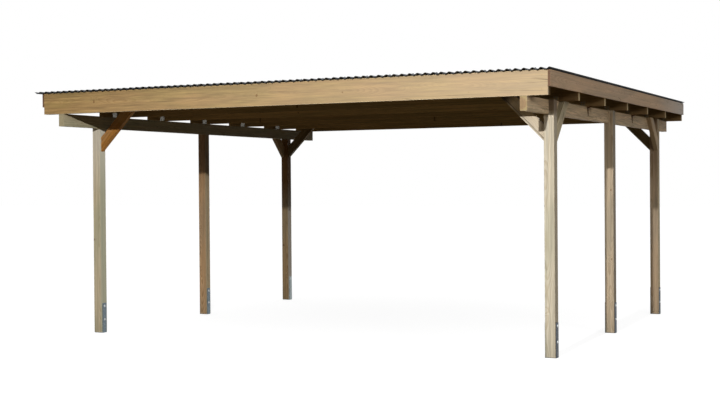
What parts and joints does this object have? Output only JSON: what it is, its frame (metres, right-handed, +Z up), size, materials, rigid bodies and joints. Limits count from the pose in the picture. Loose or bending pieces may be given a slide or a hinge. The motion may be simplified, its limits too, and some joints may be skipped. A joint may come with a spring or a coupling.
{
  "type": "carport",
  "caption": "Open flat-roofed timber carport: posts on steel anchors, halved purlins, braces, rafters, fascia boards and a corrugated sheet roof.",
  "frame": {"origin": "centre of the roof's outline, at floor level", "axes": "+X to the right seen from the front, +Y from the front to the rear, +Z up"},
  "size_m": [5.1976, 5.15, 2.4008],
  "materials": {
    "post_timber": "planed, pressure treated softwood",
    "purlin_timber": "planed, pressure treated softwood",
    "rafter_timber": "planed, pressure treated softwood",
    "brace_timber": "planed, pressure treated softwood",
    "front_fascia_board": "planed, pressure treated softwood",
    "side_fascia_board": "planed, pressure treated softwood",
    "galvanised_steel": "hot-dip galvanised, matt",
    "roof_sheet": "anthracite, satin"
  },
  "bodies": {
    "root": {"angle_brackets_left": "galvanised_steel", "angle_brackets_right": "galvanised_steel", "blocking": "rafter_timber", "cross_brace_front_left": "brace_timber", "cross_brace_front_right": "brace_timber", "cross_brace_rear_left": "brace_timber", "cross_brace_rear_right": "brace_timber", "front_fascia": "front_fascia_board", "post_anchor_front_left": "galvanised_steel", "post_anchor_front_right": "galvanised_steel", "post_anchor_middle_left": "galvanised_steel", "post_anchor_middle_right": "galvanised_steel", "post_anchor_rear_left": "galvanised_steel", "post_anchor_rear_right": "galvanised_steel", "post_front_left": "post_timber", "post_front_right": "post_timber", "post_middle_left": "post_timber", "post_middle_right": "post_timber", "post_rear_left": "post_timber", "post_rear_right": "post_timber", "purlin_brace_front_left": "brace_timber", "purlin_brace_front_right": "brace_timber", "purlin_brace_rear_left": "brace_timber", "purlin_brace_rear_right": "brace_timber", "purlin_left_front": "purlin_timber", "purlin_left_rear": "purlin_timber", "purlin_right_front": "purlin_timber", "purlin_right_rear": "purlin_timber", "rafter_1": "rafter_timber", "rafter_2": "rafter_timber", "rafter_3": "rafter_timber", "rafter_4": "rafter_timber", "rafter_5": "rafter_timber", "rafter_6": "rafter_timber", "rafter_7": "rafter_timber", "rafter_straps_left": "galvanised_steel", "rafter_straps_right": "galvanised_steel", "roof_sheet_1": "roof_sheet", "roof_sheet_2": "roof_sheet", "roof_sheet_3": "roof_sheet", "roof_sheet_4": "roof_sheet", "roof_sheet_5": "roof_sheet", "side_fascia_left": "side_fascia_board", "side_fascia_right": "side_fascia_board"}
  },
  "joints": []
}
